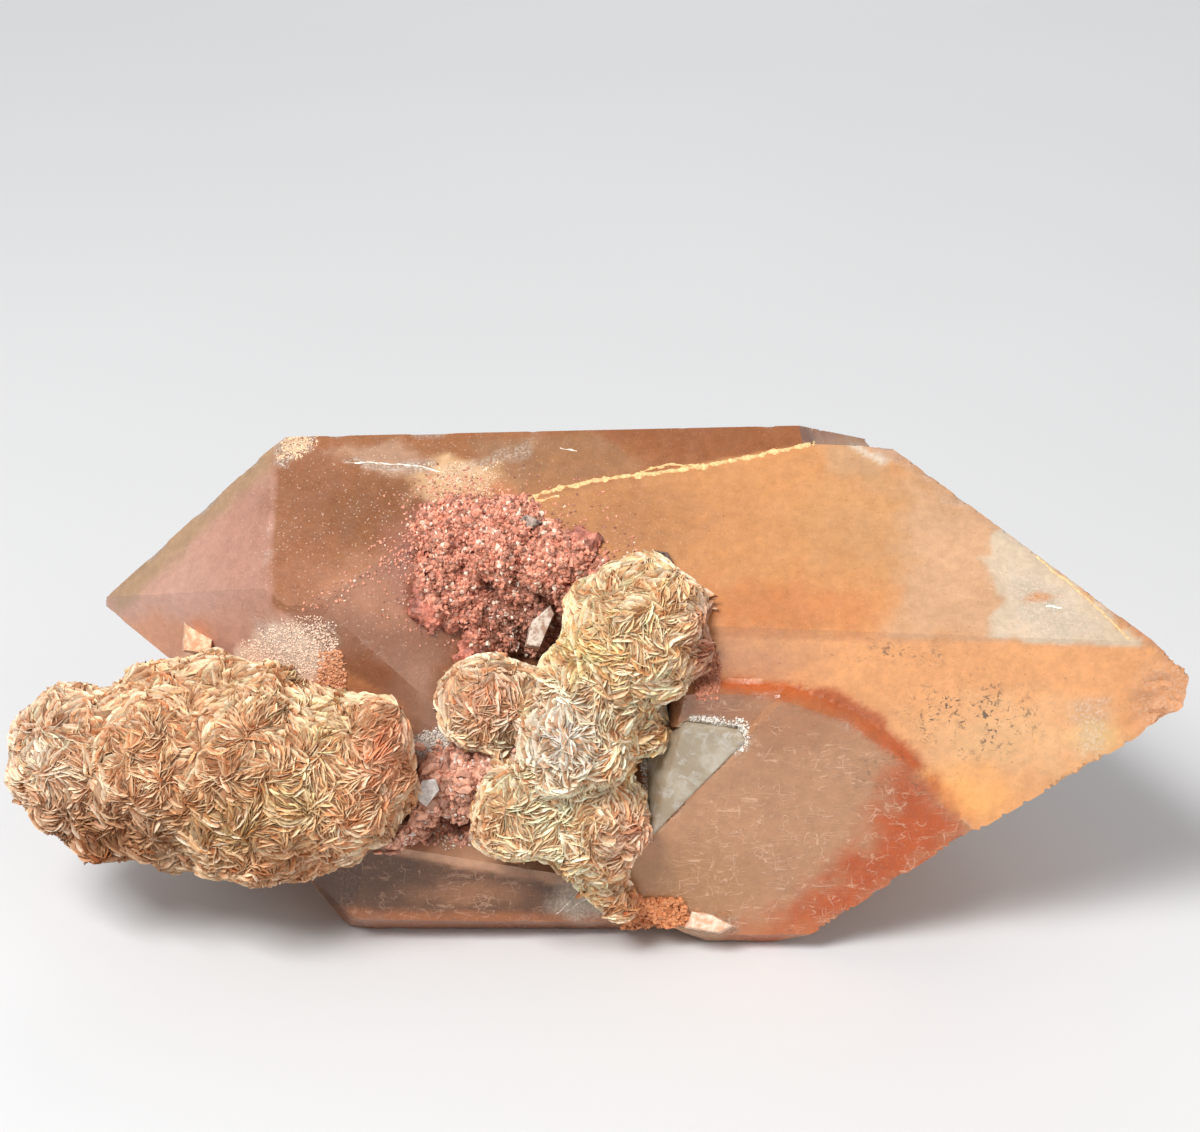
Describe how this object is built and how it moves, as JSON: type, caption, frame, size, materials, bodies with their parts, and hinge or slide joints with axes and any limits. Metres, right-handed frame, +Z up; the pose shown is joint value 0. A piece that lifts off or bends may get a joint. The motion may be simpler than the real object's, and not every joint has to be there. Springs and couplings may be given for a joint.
{
  "type": "tangerine quartz cluster",
  "caption": "Natural cluster of iron-stained tangerine quartz crystals grown together, with rosettes of thin tan blades and a red druse over the front.",
  "frame": {"origin": "on the surface the cluster stands on, under the middle of its bounding box", "axes": "+Z up, front towards -Y, the two long crystals lie along X with the free tip of the right crystal at +X"},
  "size_m": [0.1894, 0.09, 0.0789],
  "materials": {
    "tangerine_quartz": "glossy",
    "tan_blades": "matte",
    "cream_blades": "matte",
    "maroon_druse": "satin",
    "red_crust": "matte"
  },
  "bodies": {
    "root": {"quartz_crystals": "tangerine_quartz", "left_rosette": "tan_blades", "middle_rosette": "cream_blades", "red_druse": "maroon_druse", "lower_crust": "red_crust"}
  },
  "joints": []
}
